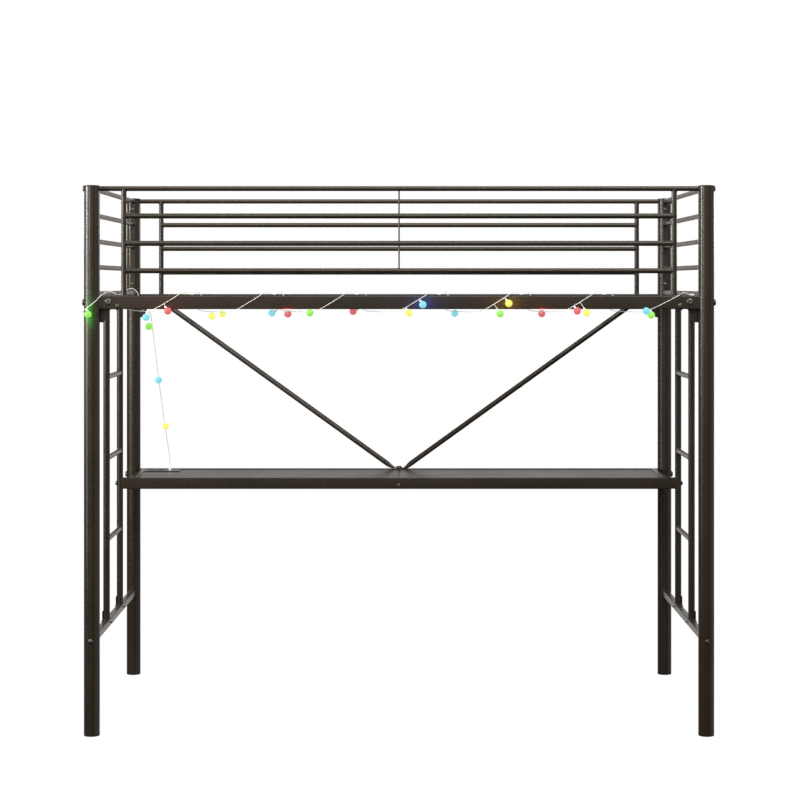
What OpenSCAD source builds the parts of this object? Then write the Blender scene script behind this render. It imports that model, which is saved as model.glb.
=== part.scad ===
// Loft bed with a full-width desk, made of bolted round and square steel tube.
// Origin: floor level, middle of the bed. +X is the sleeper's right as seen
// from the open front, +Y is the wall side, +Z is up. Millimetres.

/* [Posts] */
// Distance between the left and right post centres
post_span_x = 1944; // [1850:2:2100]
// Distance between the front and rear post centres
post_span_y = 1010; // [960:2:1200]
// Outside diameter of a post
post_d = 50; // [45:1:55]
// Height of a post without its caps
post_h = 1737; // [1700:1:1800]
// Height of the floor cap's rim under the tube
foot_rim_h = 3; // [2:1:5]
// Height of the domed cap on top of the tube
top_cap_h = 4.5; // [3:0.5:6]

/* [Bed frame] */
// Top of the long side rails
side_rail_top = 1391; // [1380:1:1400]
// Height of every rail round the mattress
bed_rail_h = 42.5; // [38:0.5:50]
// Thickness of every rail round the mattress
bed_rail_t = 25; // [20:1:30]
// Top of the short end rails
end_rail_top = 1404.5; // [1395:0.5:1410]
// Number of mattress slats
slat_count = 14; // [14:1:14]
// Distance from one slat to the next
slat_pitch = 130; // [130:1:130]
// Width of a slat
slat_w = 30; // [20:1:30]
// Thickness of a slat
slat_t = 12; // [8:1:12]

/* [Guard rails] */
// Outside diameter of the top guard tubes
guard_top_d = 16; // [14:0.5:18]
// Outside diameter of the lower guard tubes
guard_bar_d = 16.5; // [14:0.5:18]
// Height of the top guard tubes' centre line
guard_top_z = 1730; // [1720:1:1732]
// Drop from one long guard bar to the next
guard_pitch = 86.7; // [80:0.1:88]
// Drop from one end guard bar to the next
end_guard_pitch = 82.7; // [78:0.1:84]
// Distance of a guard upright from the middle
upright_x = 870.7; // [860:0.1:872]
// Outside diameter of a guard upright
upright_d = 17; // [14:0.5:18]
// Diameter of the thin rod in the middle
rod_d = 5; // [4:0.5:8]

/* [Ladders] */
// Outside diameter of a ladder stile
stile_d = 22; // [20:1:25]
// Distance between a ladder's stile centres
ladder_w = 324; // [300:2:360]
// Outside diameter of a rung
rung_d = 17.5; // [16:0.5:20]
// Height of the lowest rung
rung_first_z = 574.5; // [560:0.5:590]
// Height from rung to rung
rung_pitch = 271.5; // [250:0.5:280]
// Section of the floor rails that carry the ladders
lower_rail_s = 22; // [20:1:25]
// Height of the floor rails' centre line
lower_rail_z = 301; // [280:1:320]

/* [Desk] */
// Top of the desk's steel frame
desk_z = 752.5; // [730:0.5:770]
// Height of the desk's steel rails
desk_rail_h = 40; // [30:1:45]
// Thickness of the desk's steel rails
desk_rail_t = 20; // [16:1:22]
// Distance of the desk frame's ends from the middle
desk_half_x = 941; // [935:1:943]
// Thickness of the two desk panels
panel_t = 12; // [9:1:15]
// How far the panels lie below the frame's top
panel_drop = 3; // [1:0.5:4]
// Outside diameter of the braces
brace_d = 18.6; // [16:0.1:20]

/* [String lights] */
// Diameter of the light wire
wire_d = 2; // [2:0.1:2]
// Diameter of a bulb
bulb_d = 23; // [22:0.5:23]

/* [Hidden] */

$fn = 48;
steel = [0.17, 0.15, 0.14];
board = [0.24, 0.22, 0.21];
zinc = [0.42, 0.41, 0.40];
black = [0.10, 0.10, 0.10];
white = [0.90, 0.90, 0.88];

wall = 1.5;          // wall of every steel tube
gap = 0.1;           // clearance where two pieces meet
corner_r = 3;        // outside corner radius of the square tubes
px = post_span_x / 2;
py = post_span_y / 2;
post_r = post_d / 2;
post_top = foot_rim_h + post_h - 3;
sides = [-1, 1];

side_rail_z = side_rail_top - bed_rail_h / 2;
end_rail_z = end_rail_top - bed_rail_h / 2;
slat_top = side_rail_top - 13;
beam_s = 18;

end_guard_y = py - post_r;     // inner side of the posts
strip_t = 3;                   // flat strip that carries the end guard tubes
strip_w = 18;
strip_lo = 1412;
strip_hi = guard_top_z + 4;
end_screw_z = [1700, 1428];

stile_x = px + 3;
stile_y = ladder_w / 2;
lower_top = lower_rail_z + lower_rail_s / 2;
end_rail_low = end_rail_top - bed_rail_h;
tab_t = 2.5;
top_tab_h = 28;

desk_mid_z = desk_z - desk_rail_h / 2;
desk_rear_y = py;
panel_top = desk_z - panel_drop;
panel_y0 = stile_y + desk_rail_t / 2 + 0.5;
panel_y1 = desk_rear_y - desk_rail_t / 2 - 0.5;
side_in_x = desk_half_x - desk_rail_t;
centre_bar_h = 24;
centre_bar_z = panel_top - panel_t - gap - centre_bar_h / 2;
outlet_x = -856.5;
outlet_y = 440;
outlet_w = 125;
outlet_l = 70;

bracket_t = 2.5;
bracket_y = py - bed_rail_t / 2 - gap - bracket_t;
face_bolt = [918.5, 1372];
face_screw = [888.6, 1360.6];

brace_top_x = 872;             // bolt under the rear rail
brace_tip_t = 2.5;
brace_low_z = desk_z + gap;
brace_high_z = side_rail_top - bed_rail_h - gap - brace_tip_t;
eye_w = brace_d + 4;

// ---- building blocks ------------------------------------------------------

// A rod or tube from point a to point b
module between(a, b) {
    v = b - a;
    l = norm(v);
    translate(a)
        rotate([0, acos(v[2] / l), atan2(v[1], v[0])])
            children();
}

// A closed-end round tube of length l along +Z
module tube(d, l, t = wall) {
    difference() {
        cylinder(d = d, h = l);
        translate([0, 0, -1]) cylinder(d = d - 2 * t, h = l + 2);
    }
}

// A round tube with solid inserts in both ends, drilled for screws
module plugged_tube(d, l, plug, hole_r) {
    difference() {
        cylinder(d = d, h = l);
        translate([0, 0, plug]) cylinder(d = d - 2 * wall, h = l - 2 * plug);
        translate([0, 0, -1]) cylinder(r = hole_r, h = l + 2);
    }
}

// Rectangle with rounded corners
module round_rect(w, h, r) {
    union() {
        square([w - 2 * r, h], center = true);
        square([w, h - 2 * r], center = true);
        for (x = sides, y = sides)
            translate([x * (w / 2 - r), y * (h / 2 - r)]) circle(r = r);
    }
}

// A rectangular tube of length l along +Z with drilled end plates
module box_tube(w, h, l, plate = 0, hole_r = 0) {
    difference() {
        linear_extrude(l) round_rect(w, h, corner_r);
        translate([0, 0, plate > 0 ? plate : -1])
            linear_extrude(plate > 0 ? l - 2 * plate : l + 2)
                round_rect(w - 2 * wall, h - 2 * wall, corner_r - wall);
        if (hole_r > 0)
            translate([0, 0, -1]) cylinder(r = hole_r, h = l + 2);
    }
}

// Lay a piece that was drawn along +Z along +X or +Y
module along_x() { rotate([90, 0, 90]) children(); }
module along_y() { rotate([-90, 0, 0]) children(); }

// A low domed head with a hex socket, its shank going down from z = 0
module bolt(head_d, head_h, shank_d, length) {
    head_r = head_d / 2;
    ball = (head_r * head_r + head_h * head_h) / (2 * head_h);
    difference() {
        union() {
            intersection() {
                cylinder(r = head_r, h = head_h);
                translate([0, 0, head_h - ball]) sphere(r = ball);
            }
            translate([0, 0, -length]) cylinder(d = shank_d, h = length + head_h / 3);
        }
        translate([0, 0, head_h * 0.45]) cylinder(d = head_d * 0.36, h = head_h, $fn = 6);
    }
}

// A hexagon nut with its own hole, standing on z = 0
module nut(across, height, hole_d) {
    difference() {
        cylinder(d = across, h = height, $fn = 6);
        translate([0, 0, -1]) cylinder(d = hole_d, h = height + 2);
    }
}

// ---- posts ----------------------------------------------------------------

m8_hole = 4.3;
m6_hole = 3.3;

module post(sx, sy) {
    color(steel)
        difference() {
            translate([sx * px, sy * py, foot_rim_h])
                tube(post_d, post_top - foot_rim_h);
            translate([sx * px - post_d, sy * py, side_rail_z])
                along_x() cylinder(r = m8_hole, h = 2 * post_d);
            translate([sx * px - post_d, sy * py, guard_top_z])
                along_x() cylinder(r = m6_hole, h = 2 * post_d);
            translate([sx * px, sy * py - post_d, lower_rail_z])
                along_y() cylinder(r = m6_hole, h = 2 * post_d);
            if (sy > 0)
                translate([sx * px - post_d, sy * py, desk_mid_z])
                    along_x() cylinder(r = m8_hole, h = 2 * post_d);
            for (z = end_screw_z)
                translate([sx * px, sy * (py - post_d), z])
                    rotate([-90 * sy, 0, 0]) cylinder(r = 2.6, h = post_d);
        }
}
module post_front_left() { post(-1, -1); }
module post_front_right() { post(1, -1); }
module post_rear_left() { post(-1, 1); }
module post_rear_right() { post(1, 1); }

plug_r = post_r - wall - gap;

module post_caps() {
    ball = (post_r * post_r + top_cap_h * top_cap_h) / (2 * top_cap_h);
    rim = 1.5;
    color(black)
        for (x = sides, y = sides)
            translate([x * px, y * py, post_top]) {
                intersection() {
                    cylinder(r = post_r, h = top_cap_h);
                    translate([0, 0, rim + top_cap_h - ball]) sphere(r = ball);
                }
                translate([0, 0, -3.5]) tube(2 * plug_r, 3.6, 2);
            }
}

module foot_caps() {
    color(black)
        for (x = sides, y = sides)
            translate([x * px, y * py, 0]) {
                cylinder(r = post_r, h = foot_rim_h);
                tube(2 * plug_r, 22, 2);
            }
}

// ---- rails round the mattress ---------------------------------------------

rail_plate = 6;

module side_rail(sy) {
    half = px;
    color(steel)
        difference() {
            translate([-half, sy * py, side_rail_z])
                along_x() box_tube(bed_rail_t, bed_rail_h, 2 * half, post_r + rail_plate, 4.1);
            for (x = sides) {
                translate([x * px, sy * py, 0]) cylinder(r = post_r + gap, h = side_rail_top + 10);
                translate([x * face_bolt[0], 0, face_bolt[1]])
                    along_y() translate([0, 0, sy * py - 25]) cylinder(r = 4.1, h = 50);
                translate([x * face_screw[0], 0, face_screw[1]])
                    along_y() translate([0, 0, sy * py - 25]) cylinder(r = 3.1, h = 50);
            }
            if (sy > 0)
                for (x = sides)
                    translate([x * brace_top_x, py, side_rail_z - bed_rail_h / 2 - 5])
                        cylinder(r = 3.1, h = 20);
        }
}
module side_rail_front() { side_rail(-1); }
module side_rail_rear() { side_rail(1); }

module end_rail(sx) {
    color(steel)
        difference() {
            translate([sx * px, -py, end_rail_z])
                along_y() box_tube(bed_rail_t, bed_rail_h, 2 * py);
            for (y = sides) {
                translate([sx * px, y * py, 0]) cylinder(r = post_r + gap, h = end_rail_top + 10);
                translate([sx * px - 50, y * stile_y, end_rail_low + top_tab_h / 2])
                    along_x() cylinder(r = m6_hole, h = 100);
            }
        }
}
module end_rail_left() { end_rail(-1); }
module end_rail_right() { end_rail(1); }

// Gusset plate behind each rail end, with a toe that hangs below the rail
module corner_bracket() {
    toe = 1306;
    edge = px - post_r + 3;
    low = side_rail_top - bed_rail_h + 4;
    high = side_rail_top - 3;
    along_y()
        difference() {
            linear_extrude(bracket_t)
                mirror([0, 1])
                    polygon([[edge, toe], [edge - 13, toe], [edge - 21, toe + 12],
                        [edge - 33, low - 8], [edge - 39, low], [edge - 70, low],
                        [edge - 70, high], [edge, high]]);
            translate([face_bolt[0], -face_bolt[1], -1]) cylinder(r = 4.1, h = bracket_t + 2);
            translate([face_screw[0], -face_screw[1], -1]) cylinder(r = 3.1, h = bracket_t + 2);
        }
}
module corner_bracket_pair() {
    color(steel)
        for (x = [0, 1])
            mirror([x, 0, 0])
                translate([0, bracket_y, 0]) corner_bracket();
}
module corner_brackets_rear() { corner_bracket_pair(); }
module corner_brackets_front() { mirror([0, 1, 0]) corner_bracket_pair(); }

// ---- guard rails ----------------------------------------------------------

module guard_top(sy) {
    color(steel)
        difference() {
            translate([-px, sy * py, guard_top_z])
                along_x() plugged_tube(guard_top_d, 2 * px, post_r + 15, 3.1);
            for (x = sides)
                translate([x * px, sy * py, guard_top_z - 20]) cylinder(r = post_r + gap, h = 40);
        }
}
module guard_top_front() { guard_top(-1); }
module guard_top_rear() { guard_top(1); }

module guard_bars(sy) {
    color(steel)
        for (i = [1 : 3])
            difference() {
                translate([-upright_x, sy * py, guard_top_z - i * guard_pitch])
                    along_x() tube(guard_bar_d, 2 * upright_x);
                for (x = sides)
                    translate([x * upright_x, sy * py, guard_top_z - i * guard_pitch - 20])
                        cylinder(d = upright_d + 2 * gap, h = 40);
                translate([0, sy * py, guard_top_z - i * guard_pitch - (i < 3 ? 20 : gap)])
                    cylinder(d = rod_d + 2 * gap, h = 40);
            }
}
module guard_bars_front() { guard_bars(-1); }
module guard_bars_rear() { guard_bars(1); }

module guard_uprights(sy) {
    color(steel)
        for (x = sides)
            difference() {
                translate([x * upright_x, sy * py, side_rail_top + gap])
                    tube(upright_d, guard_top_z - side_rail_top - gap);
                translate([-px, sy * py, guard_top_z])
                    along_x() cylinder(d = guard_top_d + 2 * gap, h = 2 * px);
            }
}
module guard_uprights_front() { guard_uprights(-1); }
module guard_uprights_rear() { guard_uprights(1); }

module guard_rod(sy) {
    low = guard_top_z - 3 * guard_pitch;
    color(steel)
        difference() {
            translate([0, sy * py, low]) cylinder(d = rod_d, h = 3 * guard_pitch);
            translate([-20, sy * py, guard_top_z])
                along_x() cylinder(d = guard_top_d + 2 * gap, h = 40);
        }
}
module guard_rod_front() { guard_rod(-1); }
module guard_rod_rear() { guard_rod(1); }

// Four tubes between two flat strips that are screwed to the posts
module end_guard(sx) {
    inner = end_guard_y - strip_t - gap;
    color(steel) {
        for (i = [0 : 3])
            translate([sx * px, -inner + gap, guard_top_z - 2 - i * end_guard_pitch])
                along_y() tube(guard_bar_d - 0.5, 2 * inner - 2 * gap);
        for (y = sides)
            difference() {
                translate([sx * px - strip_w / 2, y * (inner + strip_t / 2) - strip_t / 2, strip_lo])
                    cube([strip_w, strip_t, strip_hi - strip_lo]);
                for (z = end_screw_z)
                    translate([sx * px, y * inner - 10, z])
                        along_y() cylinder(r = 2.6, h = 20);
            }
    }
}
module end_guard_left() { end_guard(-1); }
module end_guard_right() { end_guard(1); }

// ---- ladders --------------------------------------------------------------

module ladder_stiles(sx) {
    color(steel)
        for (y = sides)
            difference() {
                translate([sx * stile_x, y * stile_y, lower_top + gap])
                    tube(stile_d, end_rail_low - lower_top - 2 * gap);
                if (y > 0)
                    translate([sx * stile_x - stile_d, y * stile_y, desk_mid_z])
                        along_x() cylinder(r = m8_hole, h = 2 * stile_d);
            }
}
module ladder_stiles_left() { ladder_stiles(-1); }
module ladder_stiles_right() { ladder_stiles(1); }

module ladder_rungs(sx) {
    color(steel)
        for (i = [0 : 2])
            difference() {
                translate([sx * stile_x, -stile_y, rung_first_z + i * rung_pitch])
                    along_y() tube(rung_d, 2 * stile_y);
                for (y = sides)
                    translate([sx * stile_x, y * stile_y, 0])
                        cylinder(d = stile_d + 2 * gap, h = end_rail_low);
            }
}
module ladder_rungs_left() { ladder_rungs(-1); }
module ladder_rungs_right() { ladder_rungs(1); }

// A flat tab up the outside of a stile, with a thick foot that meets the rail's
// face at rail_x; the foot and its hole lie beyond the stile's end at end_z
module ladder_tab(rail_x, end_z, foot) {
    out = stile_x + stile_d / 2 + gap;
    difference() {
        union() {
            translate([rail_x, -10, min(end_z, end_z + foot)])
                cube([out + tab_t - rail_x, 20, abs(foot)]);
            translate([out, -10, end_z - (foot > 0 ? 26 : 1)]) cube([tab_t, 20, 27]);
        }
        translate([rail_x - 1, 0, end_z + foot / 2])
            along_x() cylinder(r = m6_hole, h = out + tab_t - rail_x + 2);
    }
}
module ladder_tabs() {
    color(steel)
        for (m = [0, 1])
            mirror([m, 0, 0])
                for (y = sides)
                    translate([0, y * stile_y, 0]) {
                        ladder_tab(px + lower_rail_s / 2 + gap, lower_top, -lower_rail_s);
                        ladder_tab(px + bed_rail_t / 2 + gap, end_rail_low, top_tab_h);
                    }
}

module lower_rail(sx) {
    color(steel)
        difference() {
            translate([sx * px, -py, lower_rail_z])
                along_y() box_tube(lower_rail_s, lower_rail_s, 2 * py, post_r + 12, 3.1);
            for (y = sides) {
                translate([sx * px, y * py, lower_rail_z - 40]) cylinder(r = post_r + gap, h = 80);
                translate([sx * px - 50, y * stile_y, lower_rail_z])
                    along_x() cylinder(r = m6_hole, h = 100);
            }
        }
}
module lower_rail_left() { lower_rail(-1); }
module lower_rail_right() { lower_rail(1); }

// ---- mattress deck --------------------------------------------------------

module mattress_slats() {
    reach = py - bed_rail_t / 2 - gap;
    color(steel)
        for (i = [0 : slat_count - 1])
            translate([(i - (slat_count - 1) / 2) * slat_pitch, -reach, slat_top - slat_t / 2])
                along_y() box_tube(slat_w, slat_t, 2 * reach);
}

module centre_beam() {
    reach = px - bed_rail_t / 2 - gap - tab_t - gap;
    color(steel)
        translate([-reach, 0, slat_top - slat_t - gap - beam_s / 2])
            along_x() box_tube(beam_s, beam_s, 2 * reach);
}

module beam_hangers() {
    outer = px - bed_rail_t / 2 - gap;
    low = slat_top - slat_t - beam_s - 2;
    color(steel)
        for (m = [0, 1])
            mirror([m, 0, 0])
                translate([outer - tab_t, -16, low]) cube([tab_t, 32, end_rail_top - low - 6]);
}

// ---- desk -----------------------------------------------------------------

module desk_panel(sx) {
    seam = 0.6;
    edge = side_in_x - 0.5;
    w = edge - seam;
    color(board)
        difference() {
            translate([sx > 0 ? seam : -edge, panel_y0, panel_top - panel_t])
                cube([w, panel_y1 - panel_y0, panel_t]);
            if (sx < 0)
                translate([outlet_x, outlet_y, panel_top - panel_t - 1])
                    linear_extrude(panel_t + 2) round_rect(outlet_w - 8, outlet_l - 8, 4);
        }
}
module desk_panel_left() { desk_panel(-1); }
module desk_panel_right() { desk_panel(1); }

module desk_front_rail() {
    color(steel)
        difference() {
            translate([-desk_half_x, stile_y, desk_mid_z])
                along_x() box_tube(desk_rail_t, desk_rail_h, 2 * desk_half_x, 4, 4.1);
            translate([0, stile_y - desk_rail_t, centre_bar_z])
                along_y() cylinder(r = 2.6, h = 2 * desk_rail_t);
        }
}

module desk_rear_rail() {
    color(steel)
        difference() {
            translate([-px, desk_rear_y, desk_mid_z])
                along_x() box_tube(desk_rail_t, desk_rail_h, 2 * px, post_r + rail_plate, 4.1);
            for (x = sides)
                translate([x * px, desk_rear_y, desk_z - 60]) cylinder(r = post_r + gap, h = 80);
            translate([0, desk_rear_y, desk_z - 10]) cylinder(r = 3.1, h = 20);
        }
}

module desk_side_rails() {
    y0 = stile_y + desk_rail_t / 2 + gap;
    y1 = desk_rear_y - desk_rail_t / 2 - gap;
    color(steel)
        for (x = sides)
            translate([x * (desk_half_x - desk_rail_t / 2), y0, desk_mid_z])
                along_y() box_tube(desk_rail_t, desk_rail_h, y1 - y0);
}

// The bar under the seam between the two panels
module desk_centre_bar() {
    y0 = stile_y + desk_rail_t / 2 + gap;
    y1 = desk_rear_y - desk_rail_t / 2 - gap;
    color(steel)
        translate([0, y0, centre_bar_z])
            along_y() box_tube(30, centre_bar_h, y1 - y0, 10, 2.1);
}

// Blocks that fill the gap from the front rail to the ladder stiles
module desk_spacers() {
    long = stile_x - desk_half_x;
    color(steel)
        for (m = [0, 1])
            mirror([m, 0, 0])
                difference() {
                    translate([desk_half_x + gap, stile_y, desk_mid_z])
                        along_x() box_tube(desk_rail_t - 1, desk_rail_h - 1, long, 0, 0);
                    translate([stile_x, stile_y, 0]) cylinder(d = stile_d + 2 * gap, h = desk_z + 9);
                }
}

// Brace tube with both ends pressed flat and bent level, and a drain hole at the
// back. lift raises its lower eye, because the two lower eyes lie on each other.
module brace(lift) {
    round_low = [46, py, desk_z + 20];
    round_high = [brace_top_x - 38, py, side_rail_top - bed_rail_h - 8.5];
    flat_low = [14, py, brace_low_z + lift + brace_tip_t / 2];
    flat_high = [brace_top_x - 14, py, brace_high_z + brace_tip_t / 2];
    difference() {
        union() {
            between(round_low, round_high) tube(brace_d, norm(round_high - round_low));
            crimp(round_low, round_high, flat_low);
            crimp(round_high, round_low, flat_high);
            brace_eye([0, py, brace_low_z + lift], 14.4);
            brace_eye([brace_top_x, py, brace_high_z], -14.4);
        }
        translate([0, py, brace_low_z - 5]) cylinder(r = 3.3, h = 20);
        translate([brace_top_x, py, brace_high_z - 5]) cylinder(r = 3.3, h = 12);
        translate(round_low * 0.95 + round_high * 0.05)
            along_y() cylinder(r = 2, h = brace_d);
    }
}

// The pressed stretch from the tube's end at a to the flat at b; the tube's
// other end is at far
module crimp(a, far, b) {
    hull() {
        between(a, far) cylinder(d = brace_d, h = 0.4, $fn = 32);
        translate(b) cube([1, eye_w, brace_tip_t], center = true);
    }
}

// The drilled flat end; reach is how far it runs towards the tube
module brace_eye(centre, reach) {
    translate(centre) {
        cylinder(d = eye_w, h = brace_tip_t);
        translate([min(0, reach), -eye_w / 2, 0]) cube([abs(reach), eye_w, brace_tip_t]);
    }
}
module brace_right() { color(steel) brace(0); }
module brace_left() { color(steel) mirror([1, 0, 0]) brace(brace_tip_t + gap); }

// ---- fasteners ------------------------------------------------------------

module rail_bolts() {
    color(zinc)
        for (m = [0, 1])
            mirror([m, 0, 0])
                for (y = sides)
                    translate([px, y * py, side_rail_z]) {
                        translate([post_r + gap, 0, 0]) along_x() bolt(21, 6, 8, 2 * post_r + 16);
                        translate([-post_r - rail_plate - gap - 6.5, 0, 0]) along_x() nut(15, 6.5, 8.1);
                    }
}

module guard_bolts() {
    color(zinc)
        for (m = [0, 1])
            mirror([m, 0, 0])
                for (y = sides)
                    translate([px + post_r + gap, y * py, guard_top_z])
                        along_x() bolt(19, 4.5, 6, 2 * post_r + 12);
}

// Two bolts with large domed heads and nuts through each rail end and its bracket
module rail_fastener(at, head_d, head_h, shank_d, nut_d) {
    out = py + bed_rail_t / 2 + gap;
    translate([at[0], out, at[1]]) along_y() bolt(head_d, head_h, shank_d, bed_rail_t + bracket_t + 7);
    translate([at[0], bracket_y - gap - 5, at[1]]) along_y() nut(nut_d, 5, shank_d + 0.1);
}
module four_corners() {
    for (m = [0, 1], n = [0, 1])
        mirror([m, 0, 0]) mirror([0, n, 0]) children();
}
module rail_face_bolts() { color(zinc) four_corners() rail_fastener(face_bolt, 20.7, 3.2, 8, 15); }
module rail_screws() { color(zinc) four_corners() rail_fastener(face_screw, 12, 2.6, 6, 11.5); }

module end_guard_screws() {
    color(zinc)
        four_corners()
            for (z = end_screw_z)
                translate([px, end_guard_y - strip_t - 2 * gap, z])
                    rotate([90, 0, 0]) bolt(11, 2.8, 5, 9);
}

module lower_rail_bolts() {
    color(zinc)
        four_corners()
            translate([px, py + post_r + gap, lower_rail_z])
                along_y() bolt(14, 4, 6, 2 * post_r + 10);
}

module ladder_bolts() {
    color(zinc)
        four_corners() {
            translate([stile_x + stile_d / 2 + 2 * gap + tab_t, stile_y, lower_rail_z])
                along_x() bolt(13, 4, 6, lower_rail_s + 12);
            translate([stile_x + stile_d / 2 + 2 * gap + tab_t, stile_y, end_rail_low + top_tab_h / 2])
                along_x() bolt(13, 4, 6, bed_rail_t + 10);
        }
}

module desk_bolts() {
    color(zinc)
        for (m = [0, 1])
            mirror([m, 0, 0]) {
                translate([stile_x + stile_d / 2 + gap, stile_y, desk_mid_z])
                    along_x() bolt(16, 5, 8, stile_d + stile_x - stile_d / 2 - desk_half_x + 14);
                translate([desk_half_x - 4 - gap - 6.5, stile_y, desk_mid_z]) along_x() nut(15, 6.5, 8.1);
                translate([px + post_r + gap, py, desk_mid_z])
                    along_x() bolt(21, 6, 8, 2 * post_r + 16);
                translate([px - post_r - rail_plate - gap - 6.5, py, desk_mid_z])
                    along_x() nut(15, 6.5, 8.1);
            }
}

// Holds the centre bar through the front rail
module desk_screw() {
    color(zinc)
        translate([0, stile_y - desk_rail_t / 2 - gap, centre_bar_z])
            rotate([90, 0, 0]) bolt(13, 3, 4, desk_rail_t + 9);
}

module brace_bolts() {
    stack = brace_low_z + 2 * brace_tip_t + 2 * gap;
    color(zinc) {
        translate([0, py, stack]) bolt(20, 4.5, 6, 14);
        for (x = sides)
            translate([x * brace_top_x, py, brace_high_z - gap])
                rotate([180, 0, 0]) bolt(15, 4, 6, 14);
    }
}

// ---- power outlet ---------------------------------------------------------

cover_t = 2.5;

module outlet_housing() {
    top = panel_top - gap;
    deep = 46;
    w = outlet_w - 10;
    l = outlet_l - 10;
    color(black)
        difference() {
            union() {
                translate([outlet_x, outlet_y, top - deep]) linear_extrude(deep) round_rect(w, l, 4);
                translate([outlet_x, outlet_y, top - deep - 12]) cylinder(d = 14, h = 13);
            }
            translate([outlet_x, outlet_y, top - deep + 2])
                linear_extrude(deep) round_rect(w - 4, l - 4, 3);
            translate([outlet_x, outlet_y, top - deep - 20]) cylinder(d = 8, h = 30);
        }
}

module outlet_cover() {
    color(black)
        difference() {
            translate([outlet_x, outlet_y, panel_top + gap])
                linear_extrude(cover_t) round_rect(outlet_w, outlet_l, 8);
            translate([outlet_x, outlet_y, panel_top - 5]) {
                for (x = [-42, -8])
                    translate([x, 0, 0]) socket_holes();
                for (y = [-11, 11])
                    translate([26.5, y, 0])
                        translate([-2.6, -6.4, 0]) cube([5.2, 12.8, 20]);
            }
        }
}

// Two upright slots and a round hole of a mains socket
module socket_holes() {
    for (y = [-6.4, 6.4])
        translate([-4, y - 1, 0]) cube([8, 2, 20]);
    translate([8, 0, 0]) cylinder(d = 5, h = 20);
}

// ---- string lights --------------------------------------------------------

plug_at = [-830, 429, panel_top + gap + cover_t];
plug_top = plug_at[2] + 14;

// The wire's route: up from the plug, forward to the front rail, along behind
// it to the left, round the left post, over the rail's end and up in an arch
lead_route = [
    [-830, 429, 764], [-830, 428, 776], [-829, 414, 794], [-828, 380, 820], [-820, 200, 916],
    [-811, 0, 1030], [-802, -200, 1154], [-794, -380, 1272], [-791, -468, 1332],
    [-797, -481, 1341], [-820, -485, 1342], [-845, -486, 1345], [-864, -486, 1349],
    [-885, -484, 1349.5], [-930, -480, 1347], [-955, -474, 1346], [-975, -473, 1345],
    [-993, -482, 1344], [-1001, -500, 1342], [-1000, -517, 1343], [-989, -531, 1349],
    [-972, -535, 1361], [-955, -530, 1376], [-944, -521, 1389], [-934, -512, 1397],
    [-924, -506, 1402], [-913, -503, 1404], [-902, -501, 1399], [-891, -495, 1395],
    [-879, -490.5, 1397], [-869, -489.5, 1404], [-860, -490, 1411], [-849, -491, 1414],
    [-838, -491, 1410], [-830, -490, 1400], [-825, -488.5, 1386], [-823, -488, 1368],
    [-820, -489.5, 1353], [-811, -495, 1344.5], [-797, -508, 1342]
];

// One turn round the front rail, starting at its lower front edge
turn_route = [
    [0, -520.5, 1345], [40, -521, 1367], [77, -520.5, 1390], [87, -513.5, 1397], [97, -507, 1401],
    [107, -504, 1402], [117, -504.5, 1397], [127, -504, 1395.5], [136, -502, 1400],
    [145, -497, 1402], [151, -491, 1397], [153, -488, 1386], [149, -487.5, 1374],
    [142, -488, 1362], [141, -489.3, 1353], [147, -491, 1346], [158, -494, 1342.5],
    [174, -498, 1341.5], [195, -503, 1340.5], [228, -511, 1340.5]
];
turn_start = -780;
turn_pitch = 261;
turns = 6;

// The last rise and the end that lies on top of the rail
end_route = [
    [786, -520.5, 1345], [835, -521, 1367], [881, -520.5, 1391], [893, -513, 1398],
    [904, -504, 1401], [914, -499, 1397], [922, -499, 1394]
];

wire_route = concat(
    lead_route,
    [for (i = [0 : turns - 1], p = turn_route) p + [turn_start + i * turn_pitch, 0, 0]],
    end_route
);

function unit(v) = v / norm(v);
function tangent(p, i) = unit(p[min(i + 1, len(p) - 1)] - p[max(i - 1, 0)]);

// Carry a side vector along the route without twist
function frames(p, i = 0, side = [1, 0, 0], done = []) =
    i == len(p) ? done :
    let (t = tangent(p, i), s = unit(side - t * (side * t)))
    frames(p, i + 1, s, concat(done, [[s, cross(t, s)]]));

module swept_tube(p, r, n) {
    f = frames(p);
    rings = [for (i = [0 : len(p) - 1], k = [0 : n - 1])
        p[i] + r * (f[i][0] * cos(360 * k / n) + f[i][1] * sin(360 * k / n))];
    skin = [for (i = [0 : len(p) - 2], k = [0 : n - 1], h = [0, 1])
        let (a = i * n + k, b = i * n + (k + 1) % n)
        h == 0 ? [a, a + n, b] : [b, a + n, b + n]];
    ends = [[for (k = [0 : n - 1]) k], [for (k = [n - 1 : -1 : 0]) (len(p) - 1) * n + k]];
    polyhedron(rings, concat(skin, ends), convexity = 10);
}

module light_wire() { color(white) swept_tube(wire_route, wire_d / 2, 8); }

// A small flat plug that stands in one of the outlet's slots
module light_plug() {
    color(white)
        difference() {
            union() {
                translate([plug_at[0], plug_at[1], plug_at[2] + 0.1])
                    linear_extrude(plug_top - plug_at[2] - 4) round_rect(8, 15, 2);
                translate([plug_at[0], plug_at[1], plug_at[2] - 10])
                    linear_extrude(11) square([4.4, 12], center = true);
                translate([plug_at[0], plug_at[1], plug_top - 4.5]) cylinder(r1 = 3.4, r2 = 2, h = 9);
            }
            translate([plug_at[0], plug_at[1], 763.8]) cylinder(r = 1.2, h = 20);
        }
}

module light_end_cap() {
    color(white)
        translate([922.2, -499, 1394]) along_x() cylinder(d = 5, h = 14);
}

bulb_r = bulb_d / 2;

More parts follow.
